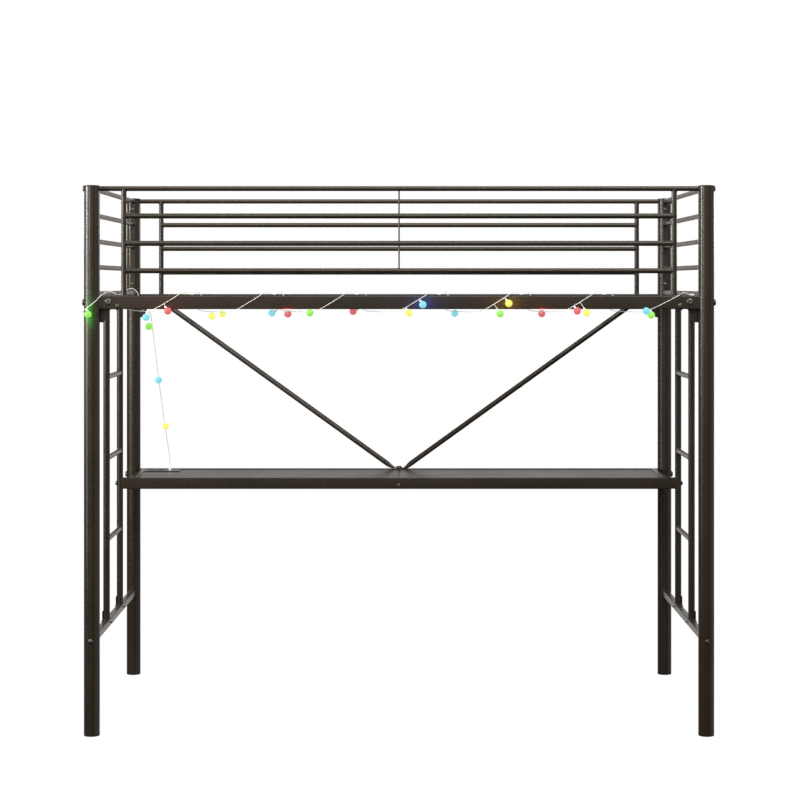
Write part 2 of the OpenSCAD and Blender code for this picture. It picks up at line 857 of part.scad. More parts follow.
// The point of the wire that lies closest to c
function on_segment(a, b, c) =
    let (t = (c - a) * (b - a) / ((b - a) * (b - a))) a + (b - a) * max(0, min(1, t));
function closest(c, i = 0, best = [1e6, [0, 0, 0]]) =
    i == len(wire_route) - 1 ? best[1] :
    let (q = on_segment(wire_route[i], wire_route[i + 1], c), d = norm(c - q))
    closest(c, i + 1, d < best[0] ? [d, q] : best);

// A round bulb with a cap and a short tail that points to the wire
module bulb(c) {
    w = closest(c);
    reach = norm(w - c) - wire_d / 2 - 0.3;
    sphere_cap = min(reach, bulb_r + 6);
    translate(c) sphere(r = bulb_r);
    between(c, w) {
        cylinder(r = 3.5, h = sphere_cap);
        if (reach > sphere_cap) cylinder(r = 0.8, h = reach);
    }
}

red_bulbs = [[-729, -531, 1343], [-353, -485, 1333], [-146, -479, 1341], [453, -484, 1334],
    [562, -531, 1343]];
green_bulbs = [[-979, -544, 1333], [-801, -427, 1292], [-281, -527, 1337], [319, -521, 1334],
    [796, -523, 1330]];
blue_bulbs = [[-800, -511, 1323], [-803, -150, 1107], [-404, -479, 1336], [75, -532, 1363],
    [177, -483, 1335], [779, -534, 1343]];
yellow_bulbs = [[-593, -494, 1327], [-560, -492, 1334], [-813, 144, 932], [31, -528, 1336],
    [346, -532, 1367], [592, -528, 1337]];

module bulbs_red() { color("red") for (c = red_bulbs) bulb(c); }
module bulbs_green() { color("limegreen") for (c = green_bulbs) bulb(c); }
module bulbs_blue() { color("deepskyblue") for (c = blue_bulbs) bulb(c); }
module bulbs_yellow() { color("gold") for (c = yellow_bulbs) bulb(c); }

// ---- the assembly ---------------------------------------------------------

post_front_left();
post_front_right();
post_rear_left();
post_rear_right();
post_caps();
foot_caps();
side_rail_front();
side_rail_rear();
end_rail_left();
end_rail_right();
corner_brackets_front();
corner_brackets_rear();
guard_top_front();
guard_bars_front();
guard_uprights_front();
guard_rod_front();
guard_top_rear();
guard_bars_rear();
guard_uprights_rear();
guard_rod_rear();
end_guard_left();
end_guard_right();
ladder_stiles_left();
ladder_rungs_left();
ladder_stiles_right();
ladder_rungs_right();
ladder_tabs();
lower_rail_left();
lower_rail_right();
mattress_slats();
centre_beam();
beam_hangers();
desk_panel_left();
desk_panel_right();
desk_front_rail();
desk_rear_rail();
desk_side_rails();
desk_centre_bar();
desk_spacers();
brace_left();
brace_right();
rail_bolts();
guard_bolts();
rail_face_bolts();
rail_screws();
end_guard_screws();
lower_rail_bolts();
ladder_bolts();
desk_bolts();
desk_screw();
brace_bolts();
outlet_housing();
outlet_cover();
light_wire();
light_plug();
light_end_cap();
bulbs_red();
bulbs_green();
bulbs_blue();
bulbs_yellow();
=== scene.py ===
"""Looks of a loft bed with a full-width desk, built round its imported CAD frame.

Metres, in the frame's own axes: +X along the bed, +Y towards the wall, +Z up.
Each piece is lofted from rings of points, between places that the frame gives.
"""
import math

import bmesh
import bpy
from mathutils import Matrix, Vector


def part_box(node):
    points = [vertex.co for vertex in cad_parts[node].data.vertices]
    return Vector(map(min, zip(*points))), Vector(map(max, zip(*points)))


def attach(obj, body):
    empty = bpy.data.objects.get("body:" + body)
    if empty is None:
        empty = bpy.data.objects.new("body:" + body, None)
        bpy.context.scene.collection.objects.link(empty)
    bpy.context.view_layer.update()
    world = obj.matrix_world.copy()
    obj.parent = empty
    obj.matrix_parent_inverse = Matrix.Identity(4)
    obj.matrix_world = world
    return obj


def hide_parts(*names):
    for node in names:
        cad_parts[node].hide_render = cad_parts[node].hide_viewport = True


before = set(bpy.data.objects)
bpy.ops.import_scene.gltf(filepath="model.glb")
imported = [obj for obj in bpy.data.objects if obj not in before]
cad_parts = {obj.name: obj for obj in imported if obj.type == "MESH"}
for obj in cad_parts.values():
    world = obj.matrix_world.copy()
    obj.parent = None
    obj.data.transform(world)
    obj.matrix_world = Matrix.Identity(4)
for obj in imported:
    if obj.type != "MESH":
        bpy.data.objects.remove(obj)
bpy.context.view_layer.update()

MM = 0.001
SIDES = (-1, 1)
X, Y, Z = Vector((1, 0, 0)), Vector((0, 1, 0)), Vector((0, 0, 1))
FRONT_REAR = {"front": -1, "rear": 1}
LEFT_RIGHT = {"left": -1, "right": 1}

# ---- camera -----------------------------------------------------------------

CAMERA_AT = (0, -6.922, 1.4306)
scene = bpy.context.scene
optics = bpy.data.cameras.new("camera")
optics.lens = 91.25
optics.sensor_width = 36
optics.shift_x = 0.0012
optics.shift_y = -0.146
camera = bpy.data.objects.new("camera", optics)
camera.location = CAMERA_AT
camera.rotation_euler = (math.pi / 2, 0, 0)
scene.collection.objects.link(camera)
scene.camera = camera
scene.view_settings.view_transform = "Standard"

# ---- drawing kit ------------------------------------------------------------

CORNER_STEPS = 12               # points on each corner of a section
ROUND = 4 * CORNER_STEPS        # so that every section has as many points
WELD_R = 1.7 * MM
WELD_RIPPLE = (1.06, 0.86, 0.86)        # how thick the bead is, over and over along it
BEAD = [2 * math.pi * k / 8 for k in range(8)]      # the angles round a bead
ROUGH = 0.3                     # half of a bar's length before its ends are fitted
SHARP = math.radians(35)        # a steeper fold between faces stays an edge
LIT_ALONE = {                   # groups of pieces, each with lamps that light nothing else
    "corner": ("post_front_left",),
    "rail": ("side_rail_front", "brace_left"),
    "brace": ("brace_left",),
}
lit_groups = {group: bpy.data.collections.new(f"lit_{group}") for group in LIT_ALONE}


def mid(node):
    lo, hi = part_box(node)
    return (lo + hi) / 2


def size(node):
    lo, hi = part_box(node)
    return hi - lo


def section(width, height, corner):
    """A rectangle with round corners; a circle when corner is half of both sides."""
    points = []
    for k in range(ROUND):
        quarter = k // CORNER_STEPS
        turn = (k % CORNER_STEPS) / (CORNER_STEPS - 1)
        if width == height == 2 * corner:
            turn = (k % CORNER_STEPS) / CORNER_STEPS
        angle = (quarter + turn) * math.pi / 2
        cx = (width / 2 - corner) * (1 if quarter in (0, 3) else -1)
        cy = (height / 2 - corner) * (1 if quarter in (0, 1) else -1)
        points.append((cx + corner * math.cos(angle), cy + corner * math.sin(angle)))
    return points


def circle(radius):
    return section(2 * radius, 2 * radius, radius)


def hexagon(across):
    """A hexagon's outline with as many points as a circle; across is flat to flat."""
    points = []
    for k in range(ROUND):
        angle = 2 * math.pi * k / ROUND
        to_flat = (angle + math.pi / 6) % (math.pi / 3) - math.pi / 6
        reach = across / 2 / math.cos(to_flat)
        points.append((reach * math.cos(angle), reach * math.sin(angle)))
    return points


def axes(direction):
    """Two directions across a line, the second as near to up as can be."""
    w = direction.normalized()
    u = Z.cross(w)
    u = X.copy() if u.length < 1e-6 else u.normalized()
    return u, w.cross(u), w


class Rod:
    """An endless round rod that a tube's end is fitted to."""

    def __init__(self, point, direction, radius):
        self.point, self.direction, self.radius = point, direction.normalized(), radius

    def across(self, v):
        return v - self.direction * v.dot(self.direction)

    def meets(self, p, w):
        """Where the line from p along w first reaches the rod."""
        d, o = self.across(w), self.across(p - self.point)
        a, b = d.dot(d), o.dot(d)
        inside = max(b * b - a * (o.dot(o) - self.radius ** 2), 0)
        return p + w * ((-b - math.sqrt(inside)) / a)


class Flat:
    """A plane that a tube's end stands on."""

    def __init__(self, point, normal):
        self.point, self.normal = point, normal

    def meets(self, p, w):
        """Where the line from p along w goes through the plane."""
        return p + w * ((self.point - p).dot(self.normal) / w.dot(self.normal))


class Solid:
    """Gathers the closed skins of one piece."""

    def __init__(self):
        self.bm = bmesh.new()

    def loft(self, rings, loop=False):
        """A skin through rings with equal counts; a loop has no ends."""
        made = [[self.bm.verts.new(p) for p in ring] for ring in rings]
        pairs = list(zip(made, made[1:])) + ([(made[-1], made[0])] if loop else [])
        for a, b in pairs:
            for i in range(len(a)):
                j = (i + 1) % len(a)
                self.bm.faces.new((a[i], a[j], b[j], b[i]))
        if not loop:
            self.bm.faces.new(made[0][::-1])
            self.bm.faces.new(made[-1])

    def pipe(self, a, b, outline, start=None, end=None):
        """A straight bar from a to b, its ends fitted to start and end."""
        u, v, w = axes(b - a)
        first = [a + u * s + v * t for s, t in outline]
        last = [b + u * s + v * t for s, t in outline]
        middle = [(p + q) / 2 for p, q in zip(first, last)]
        if start:
            first = [start.meets(p, -w) for p in middle]
        if end:
            last = [end.meets(p, w) for p in middle]
        self.loft([first, last])
        return first, last

    def weld(self, seam, a, b):
        """A rippled bead along a seam round the bar from a to b."""
        w = (b - a).normalized()
        rings = []
        for i, p in enumerate(seam):
            out = p - a - w * (p - a).dot(w)
            out.normalize()
            along = (seam[(i + 1) % len(seam)] - seam[i - 1]).normalized()
            side = along.cross(out).normalized()
            r = WELD_R * WELD_RIPPLE[i % len(WELD_RIPPLE)]
            rings.append([p + (out * math.cos(t) + side * math.sin(t)) * r for t in BEAD])
        self.loft(rings, loop=True)

    def welded(self, a, b, outline, start=None, end=None):
        """A bar with a bead at each fitted end."""
        seams = self.pipe(a, b, outline, start, end)
        for seam, fitted in zip(seams, (start, end)):
            if fitted:
                self.weld(seam, a, b)

    def turned(self, profile, foot, direction):
        """A lathe shape; profile lists (outline or radius, height)."""
        u, v, w = axes(direction)
        rings = []
        for shape, height in profile:
            outline = shape if isinstance(shape, list) else circle(shape)
            rings.append([foot + w * height + u * s + v * t for s, t in outline])
        self.loft(rings)

    def plate(self, loops, thickness, corner, u, v, bevel=0.6 * MM):
        """A flat plate; the first loop is its outline and the others are its holes."""
        w = u.cross(v)
        levels = ((0, bevel), (bevel, 0), (thickness - bevel, 0), (thickness, bevel))
        lids = [[], []]
        for number, loop in enumerate(loops):
            sign = -1 if number else 1
            rings = []
            for height, cut in levels:
                shifted = inset(loop, cut * sign)
                rings.append([self.bm.verts.new(corner + u * s + v * t + w * height)
                              for s, t in shifted])
            for a, b in zip(rings, rings[1:]):
                for i in range(len(a)):
                    j = (i + 1) % len(a)
                    self.bm.faces.new((a[i], a[j], b[j], b[i]))
            for lid, ring in zip(lids, (rings[0], rings[-1])):
                lid += [self.bm.edges.get((ring[i - 1], ring[i])) for i in range(len(ring))]
        for lid in lids:
            bmesh.ops.triangle_fill(self.bm, edges=lid, use_beauty=True)

    def finish(self, name, material, slot, *nodes):
        """Turn the gathered skins into one piece that stands for CAD nodes."""
        bmesh.ops.recalc_face_normals(self.bm, faces=self.bm.faces)
        mesh = bpy.data.meshes.new(f"{name}_skin")
        self.bm.to_mesh(mesh)
        self.bm.free()
        mesh.shade_smooth()
        mesh.set_sharp_from_angle(angle=SHARP)
        mesh.materials.append(material)
        piece = bpy.data.objects.new(f"{name}_skin", mesh)
        scene.collection.objects.link(piece)
        for group, names in LIT_ALONE.items():
            if name in names:
                lit_groups[group].objects.link(piece)
        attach(piece, "root")
        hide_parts(*(nodes or [name]))
        return piece

    def finish_coated(self, name):
        self.finish(name, coat, "coated_steel")


def lone_bar(node, a, b, outline, start=None, end=None):
    """A coated piece that is one bar."""
    bar = Solid()
    bar.pipe(a, b, outline, start, end)
    bar.finish_coated(node)


def inset(loop, distance):
    """Move a counter-clockwise outline inwards; a negative distance widens it."""
    if not distance:
        return loop
    moved = []
    for i, p in enumerate(loop):
        before, after = loop[i - 1], loop[(i + 1) % len(loop)]
        normals = []
        for q, r in ((before, p), (p, after)):
            dx, dy = r[0] - q[0], r[1] - q[1]
            length = math.hypot(dx, dy)
            normals.append((-dy / length, dx / length))
        nx, ny = normals[0][0] + normals[1][0], normals[0][1] + normals[1][1]
        scale = 2 * distance / (nx * nx + ny * ny)
        moved.append((p[0] + nx * scale, p[1] + ny * scale))
    return moved


def rectangle(x0, y0, x1, y1):
    return [(x0, y0), (x1, y0), (x1, y1), (x0, y1)]


def softened(points, radius, steps=5):
    """Round a polygon's corners with short curves."""
    loop = []
    for i, p in enumerate(points):
        p = Vector(p)
        arms = []
        for q in (Vector(points[i - 1]), Vector(points[(i + 1) % len(points)])):
            arms.append(p + (q - p).normalized() * min(radius, (q - p).length * 0.45))
        for k in range(steps + 1):
            t = k / steps
            loop.append(tuple(arms[0] * (1 - t) ** 2 + p * 2 * t * (1 - t) + arms[1] * t * t))
    return loop


# ---- materials --------------------------------------------------------------


def new_material(name, **values):
    """A node material; values are the shader's own sockets."""
    material = bpy.data.materials.new(name)
    material.use_nodes = True
    tree = material.node_tree
    shader = tree.nodes["Principled BSDF"]
    for socket, value in values.items():
        shader.inputs[socket.replace("_", " ")].default_value = value
    return material, tree, shader


def noise(tree, scale, detail, stretch=None):
    """Noise in the frame's own metres; stretch is how it is scaled along X, Y and Z."""
    texture = tree.nodes.new("ShaderNodeTexNoise")
    texture.inputs["Scale"].default_value = scale
    texture.inputs["Detail"].default_value = detail
    place = tree.nodes.new("ShaderNodeTexCoord").outputs["Object"]
    if stretch:
        mapping = tree.nodes.new("ShaderNodeMapping")
        mapping.inputs["Scale"].default_value = stretch
        tree.links.new(place, mapping.inputs["Vector"])
        place = mapping.outputs["Vector"]
    tree.links.new(place, texture.inputs["Vector"])
    return texture.outputs["Fac"]


NOISE_SPAN = (0.3, 0.7)         # most noise lies between these
COLOUR_STOPS = (0.35, 0.65)


def ramp(tree, factor, low, high):
    """Spread a factor between two colours or two numbers."""
    if isinstance(low, (int, float)):
        node = tree.nodes.new("ShaderNodeMapRange")
        node.inputs["From Min"].default_value = NOISE_SPAN[0]
        node.inputs["From Max"].default_value = NOISE_SPAN[1]
        node.inputs["To Min"].default_value = low
        node.inputs["To Max"].default_value = high
        tree.links.new(factor, node.inputs["Value"])
        return node.outputs["Result"]
    node = tree.nodes.new("ShaderNodeValToRGB")
    for element, place, colour in zip(node.color_ramp.elements, COLOUR_STOPS, (low, high)):
        element.position = place
        element.color = (*colour, 1)
    tree.links.new(factor, node.inputs["Fac"])
    return node.outputs["Color"]


def bump(tree, shader, layers):
    """Stack bumps of (height, strength, depth in metres)."""
    normal = None
    for height, strength, depth in layers:
        node = tree.nodes.new("ShaderNodeBump")
        node.inputs["Strength"].default_value = strength
        node.inputs["Distance"].default_value = depth
        tree.links.new(height, node.inputs["Height"])
        if normal:
            tree.links.new(normal, node.inputs["Normal"])
        normal = node.outputs["Normal"]
    tree.links.new(normal, shader.inputs["Normal"])


COAT_ROUGHNESS = 0.27


def powder_coat():
    """Satin dark brown coat with fine orange peel and faint cloudy patches."""
    material, tree, shader = new_material("satin_coat", IOR=1.5)
    tone = ramp(tree, noise(tree, 9, 4), (0.0255, 0.0185, 0.0122), (0.0325, 0.0235, 0.016))
    tree.links.new(tone, shader.inputs["Base Color"])
    gloss = ramp(tree, noise(tree, 35, 3), COAT_ROUGHNESS - 0.02, COAT_ROUGHNESS + 0.02)
    tree.links.new(gloss, shader.inputs["Roughness"])
    peel, grain = noise(tree, 420, 1), noise(tree, 3200, 2)
    bump(tree, shader, [(peel, 0.025, 0.04 * MM), (grain, 0.03, 0.01 * MM)])
    return material


def dark_bolt():
    """Dark plated heads with fine scratches."""
    material, tree, shader = new_material("plated_bolt", Metallic=0.85)
    tone = ramp(tree, noise(tree, 60, 3), (0.10, 0.095, 0.09), (0.2, 0.19, 0.18))
    tree.links.new(tone, shader.inputs["Base Color"])
    gloss = ramp(tree, noise(tree, 220, 4), 0.24, 0.42)
    tree.links.new(gloss, shader.inputs["Roughness"])
    scratches = noise(tree, 900, 3, (1, 1, 6))
    bump(tree, shader, [(scratches, 0.25, 0.03 * MM)])
    return material


def desk_laminate():
    """Dark laminate with a faint grain along the desk."""
    material, tree, shader = new_material("dark_laminate", IOR=1.46)
    grain = noise(tree, 60, 5, (0.05, 1, 1))
    tone = ramp(tree, grain, (0.022, 0.019, 0.017), (0.034, 0.030, 0.027))
    tree.links.new(tone, shader.inputs["Base Color"])
    gloss = ramp(tree, noise(tree, 25, 4, (0.2, 1, 1)), 0.3, 0.37)
    tree.links.new(gloss, shader.inputs["Roughness"])
    pores = noise(tree, 420, 3, (0.06, 1, 1))
    bump(tree, shader, [(pores, 0.2, 0.05 * MM)])
    return material


def moulded(name, low, high, rough, glow=0):
    """Moulded plastic with a fine spark-eroded texture, and a painted glow that brightens it."""
    material, tree, shader = new_material(name, IOR=1.46, Emission_Color=(1, 1, 1, 1),
                                          Emission_Strength=glow)
    tone = ramp(tree, noise(tree, 20, 3), low, high)
    tree.links.new(tone, shader.inputs["Base Color"])
    gloss = ramp(tree, noise(tree, 90, 3), rough - 0.05, rough + 0.05)
    tree.links.new(gloss, shader.inputs["Roughness"])
    bump(tree, shader, [(noise(tree, 1800, 2), 0.3, 0.03 * MM)])
    return material


def glowing(name, colour):
    """A lit frosted ball, in its light's colour."""
    material, tree, shader = new_material(name, Roughness=0.35, IOR=1.45)
    dim, bright = [c * 0.16 for c in colour], [c * 0.24 for c in colour]
    tone = ramp(tree, noise(tree, 160, 2), dim, bright)
    tree.links.new(tone, shader.inputs["Base Color"])
    shader.inputs["Emission Color"].default_value = (*colour, 1)
    strength = ramp(tree, noise(tree, 90, 3), 0.84, 0.94)
    tree.links.new(strength, shader.inputs["Emission Strength"])
    bump(tree, shader, [(noise(tree, 1500, 2), 0.15, 0.02 * MM)])
    return material


coat = powder_coat()
plated = dark_bolt()
laminate = desk_laminate()
cap_plastic = moulded("cap_black", (0.012, 0.011, 0.010), (0.018, 0.016, 0.015), 0.5)
outlet_plastic = moulded("outlet_black", (0.010, 0.010, 0.010), (0.016, 0.016, 0.016), 0.3)
# the white plastic of the wire, plug, end sleeve and bulb caps has a painted glow (emission 0.25)
# that brightens it, though it is no lamp
white_plastic = moulded("cord_white_painted_glow", (0.72, 0.72, 0.70), (0.82, 0.82, 0.80), 0.35, glow=0.25)
BALL_COLOUR = {
    "red": (0.76, 0.15, 0.16), "green": (0.33, 0.86, 0.13),
    "blue": (0.25, 0.72, 0.83), "yellow": (0.95, 0.94, 0.19),
}

# ---- string lights ----------------------------------------------------------

WIRE_D = 2 * MM
BULB_R = 11.5 * MM
PLUG_AT = Vector((-0.830, 0.429, 0.764))        # where the wire leaves the plug

# The wire's route in mm: the lead from the plug to the front rail and
# round the left post, one turn round the rail, and the right end.
LEAD_ROUTE = [
    (-830, 429, 764), (-830, 428, 776), (-829, 414, 794), (-828, 380, 820), (-820, 200, 916),
    (-811, 0, 1030), (-802, -200, 1154), (-794, -380, 1272), (-791, -468, 1332),
    (-797, -481, 1341), (-820, -485, 1342), (-845, -486, 1345), (-864, -486, 1349),
    (-885, -484, 1349.5), (-930, -480, 1347), (-955, -474, 1346), (-975, -473, 1345),
    (-993, -482, 1344), (-1001, -500, 1342), (-1000, -517, 1343), (-989, -531, 1349),
    (-972, -535, 1361), (-955, -530, 1376), (-944, -521, 1389), (-934, -512, 1397),
    (-924, -506, 1402), (-913, -503, 1404), (-902, -501, 1399), (-891, -495, 1395),
    (-879, -490.5, 1397), (-869, -489.5, 1404), (-860, -490, 1411), (-849, -491, 1414),
    (-838, -491, 1410), (-830, -490, 1400), (-825, -488.5, 1386), (-823, -488, 1368),
    (-820, -489.5, 1353), (-811, -495, 1344.5), (-797, -508, 1342),
]
TURN_ROUTE = [
    (0, -520.5, 1345), (40, -521, 1367), (77, -520.5, 1390), (87, -513.5, 1397), (97, -507, 1401),
    (107, -504, 1402), (117, -504.5, 1397), (127, -504, 1395.5), (136, -502, 1400),
    (145, -497, 1402), (151, -491, 1397), (153, -488, 1386), (149, -487.5, 1374),
    (142, -488, 1362), (141, -489.3, 1353), (147, -491, 1346), (158, -494, 1342.5),
    (174, -498, 1341.5), (195, -503, 1340.5), (228, -511, 1340.5),
]
TURN_START, TURN_PITCH, TURNS = -780, 261, 6
END_ROUTE = [
    (786, -520.5, 1345), (835, -521, 1367), (881, -520.5, 1391), (893, -513, 1398),
    (904, -504, 1401), (914, -499, 1397), (922, -499, 1394),
]
BULBS = {                       # the balls' centres in mm
    "red": [(-729, -531, 1343), (-353, -485, 1333), (-146, -479, 1341), (453, -484, 1334),
            (562, -531, 1343)],
    "green": [(-979, -544, 1333), (-801, -427, 1292), (-281, -527, 1337), (319, -521, 1334),
              (796, -523, 1330)],
    "blue": [(-800, -511, 1323), (-803, -150, 1107), (-404, -479, 1336), (75, -532, 1363),
             (177, -483, 1335), (779, -534, 1343)],
    "yellow": [(-593, -494, 1327), (-560, -492, 1334), (-813, 144, 932), (31, -528, 1336),
               (346, -532, 1367), (592, -528, 1337)],
}


def whole_route():
    """The lead, the turns round the front rail and the end, in metres."""
    points = list(LEAD_ROUTE)
    for turn in range(TURNS):
        shift = TURN_START + turn * TURN_PITCH
        points += [(x + shift, y, z) for x, y, z in TURN_ROUTE]
    return [Vector(p) * MM for p in points + END_ROUTE]


def hermite(p, q, leave, arrive, t):
    """A point on the curve from p to q; t goes from 0 to 1."""
    return (p * (2 * t**3 - 3 * t**2 + 1) + leave * (t**3 - 2 * t**2 + t)
            + q * (3 * t**2 - 2 * t**3) + arrive * (t**3 - t**2))


def smoothed(points, steps=5):
    """A curve through every point, tangent to the line between its neighbours."""
    line = []
    for i in range(len(points) - 1):
        p0, p1 = points[max(i - 1, 0)], points[i]
        p2, p3 = points[i + 1], points[min(i + 2, len(points) - 1)]
        reach = (p2 - p1).length
        leave = (p2 - p0).normalized() * reach
        arrive = (p3 - p1).normalized() * reach
        line += [hermite(p1, p2, leave, arrive, k / steps) for k in range(steps)]
    return line + [points[-1]]


wire_line = smoothed(whole_route())


def make_wire():
    """The whole wire, as one curve piece."""
    curve = bpy.data.curves.new("light_wire_run", "CURVE")
    curve.dimensions = "3D"
    curve.bevel_depth = WIRE_D / 2
    curve.bevel_resolution = 3
    curve.use_fill_caps = True
    spline = curve.splines.new("POLY")
    spline.points.add(len(wire_line) - 1)
    for target, p in zip(spline.points, wire_line):
        target.co = (*p, 1)
    spline.use_smooth = True
    curve.materials.append(white_plastic)
    wire = bpy.data.objects.new("light_wire_run", curve)
    scene.collection.objects.link(wire)
    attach(wire, "root")
    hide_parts("light_wire")
    return wire


def nearest_on_wire(c):
    """The wire's nearest point to c."""
    best = None
    for a, b in zip(wire_line, wire_line[1:]):
        t = (c - a).dot(b - a) / (b - a).length_squared
        q = a + (b - a) * max(0, min(1, t))
        if best is None or (c - q).length < (c - best).length:
            best = q
    return best


MOUTH_R = 3.4 * MM              # the hole in a ball under its cap
CAP_R = 3.9 * MM
CAP_H = 6 * MM
TAIL_R = 0.8 * MM
BALL_STEPS = 18


def make_bulbs():
    """A piece of balls for each colour, and one of all their caps and tails."""
    bottom, top = math.pi - 0.06, math.asin(MOUTH_R / BULB_R)       # of the ball's rings
    angles = [bottom - (bottom - top) * k / BALL_STEPS for k in range(BALL_STEPS + 1)]
    ball = [(BULB_R * math.sin(a), BULB_R * math.cos(a)) for a in angles]
    rim = BULB_R * math.cos(top)
    caps = Solid()
    made = []
    for colour, centres in BULBS.items():
        balls = Solid()
        for centre in centres:
            c = Vector(centre) * MM
            tail = nearest_on_wire(c) - c
            balls.turned(ball, c, tail)
            end = tail.length - WIRE_D / 2
            neck = min(BULB_R + CAP_H, max(end - 0.4 * MM, BULB_R + 0.4 * MM))
            caps.turned([(CAP_R - 0.7 * MM, rim - 2 * MM), (CAP_R, rim - 0.6 * MM), (CAP_R, rim),
                         (CAP_R - 0.6 * MM, rim + 0.5 * MM), (CAP_R - 0.8 * MM, neck - 0.8 * MM),
                         (CAP_R - 1.5 * MM, neck), (TAIL_R + 0.1 * MM, neck + 0.1 * MM),
                         (TAIL_R, max(end, neck + 0.2 * MM))], c, tail)
        lit = glowing(f"ball_{colour}", BALL_COLOUR[colour])
        made.append(balls.finish(f"bulbs_{colour}", lit, f"bulb_{colour}"))
    return made + [caps.finish("bulb_caps", white_plastic, "white_plastic", "bulbs_red")]


PLUG_W, PLUG_L = 8, 15          # in mm, like the rings of its body: (inset, height)
PLUG_BODY = ((1, 0), (0.2, 0.3), (0, 1), (0, 8), (0.3, 9.2), (1.2, 9.9))
PLUG_RIBS = 4


def make_plug():
    """Flat plug with a ribbed, tapered sleeve round the wire."""
    plug = Solid()
    lo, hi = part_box("light_plug")
    body_low, body_high = PLUG_AT.z - 11.7 * MM, PLUG_AT.z - 1.8 * MM
    foot = Vector((PLUG_AT.x, PLUG_AT.y, 0))
    body = []
    for cut, z in PLUG_BODY:
        outline = section((PLUG_W - 2 * cut) * MM, (PLUG_L - 2 * cut) * MM, 1.9 * MM)
        body.append((outline, body_low + z * MM))
    plug.turned(body, foot, Z)
    tongue = section(4.4 * MM, 12 * MM, 0.6 * MM)
    plug.turned([(tongue, lo.z), (tongue, body_low + 1 * MM)], foot, Z)
    sleeve = []
    for k in range(PLUG_RIBS):
        z = body_high - 0.5 * MM + (hi.z - body_high) * k / PLUG_RIBS
        r = (3.3 - 0.35 * k) * MM
        sleeve += [(r, z), (r, z + 1.2 * MM), (r - 0.7 * MM, z + 1.5 * MM)]
    sleeve.append((1.25 * MM, hi.z))
    plug.turned(sleeve, foot, Z)
    return plug.finish("light_plug", white_plastic, "white_plastic")


def make_end_cap():
    """The shrunk sleeve that closes the wire's far end."""
    sleeve = Solid()
    lo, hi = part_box("light_end_cap")
    length = hi.x - lo.x
    centre = Vector((lo.x, (lo.y + hi.y) / 2, (lo.z + hi.z) / 2))
    sleeve.turned([(1.3 * MM, 0), (2.1 * MM, 0.5 * MM), (2.5 * MM, 3 * MM),
                   (2.5 * MM, length - 3 * MM), (2.0 * MM, length - 1 * MM),
                   (0.9 * MM, length)], centre, X)
    return sleeve.finish("light_end_cap", white_plastic, "white_plastic")


wire = make_wire()
string_pieces = [make_plug(), make_end_cap()] + make_bulbs()

# ---- posts ------------------------------------------------------------------

POST_R = 25 * MM
BORE_R = POST_R - 2 * MM        # the post's inside, which both caps plug
DOME_EDGE = 0.36                # the height of the dome's edge, as a part of the cap's
DOME_STEPS = 9

post_rods = {}
for y_name, sy in FRONT_REAR.items():
    for x_name, sx in LEFT_RIGHT.items():
        node = f"post_{y_name}_{x_name}"
        lo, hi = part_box(node)
        axis = Vector((mid(node).x, mid(node).y, 0))
        post_rods[sx, sy] = Rod(axis, Z, POST_R)
        lone_bar(node, axis + Z * lo.z, axis + Z * hi.z, circle(POST_R))


def make_post_caps():
    """Domed caps in the posts' tops and flat ones under their feet."""
    foot_top, base = (corner.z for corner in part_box("post_front_left"))
    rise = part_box("post_caps")[1].z - base
    angles = [math.pi / 2 * k / DOME_STEPS for k in range(DOME_STEPS - 1)]
    dome = [(POST_R * math.cos(t), rise * (DOME_EDGE + (1 - DOME_EDGE) * math.sin(t)))
            for t in angles]
    top = [(BORE_R, -3.4 * MM), (BORE_R, 0.1 * MM), (POST_R - 0.4 * MM, 0.12 * MM),
           (POST_R, 0.5 * MM)] + dome + [(POST_R * 0.3, rise * 0.985)]
    foot = [(POST_R - 1.2 * MM, 0), (POST_R - 0.3 * MM, 0.3 * MM), (POST_R, 0.9 * MM),
            (POST_R, foot_top - 0.3 * MM), (POST_R - 0.4 * MM, foot_top - 0.02 * MM),
            (BORE_R, foot_top), (BORE_R, foot_top + 19 * MM)]
    top_caps, foot_caps = Solid(), Solid()
    for rod in post_rods.values():
        top_caps.turned(top, rod.point + Z * base, Z)
        foot_caps.turned(foot, rod.point, Z)
    top_caps.finish("post_caps", cap_plastic, "cap_plastic")
    foot_caps.finish("foot_caps", cap_plastic, "cap_plastic")


make_post_caps()

# ---- rails ------------------------------------------------------------------

CORNER_R = 3 * MM


def box_bar(node, direction, start=None, end=None):
    """A box tube as long as its CAD box, its ends fitted to start and end."""
    centre, extent = mid(node), size(node)
    width = extent.y if direction is X else extent.x
    reach = direction * extent.dot(direction) / 2
    lone_bar(node, centre - reach, centre + reach, section(width, extent.z, CORNER_R),
             start, end)


for name, sy in FRONT_REAR.items():
    box_bar(f"side_rail_{name}", X, post_rods[-1, sy], post_rods[1, sy])
for name, sx in LEFT_RIGHT.items():
    box_bar(f"end_rail_{name}", Y, post_rods[sx, -1], post_rods[sx, 1])
    box_bar(f"lower_rail_{name}", Y, post_rods[sx, -1], post_rods[sx, 1])
box_bar("desk_rear_rail", X, post_rods[-1, 1], post_rods[1, 1])

BRACKET_W = 70 * MM
TOE_TOP_W = 39 * MM             # how wide the toe is where it leaves the plate
TOE_W = 13 * MM                 # and at its lower end


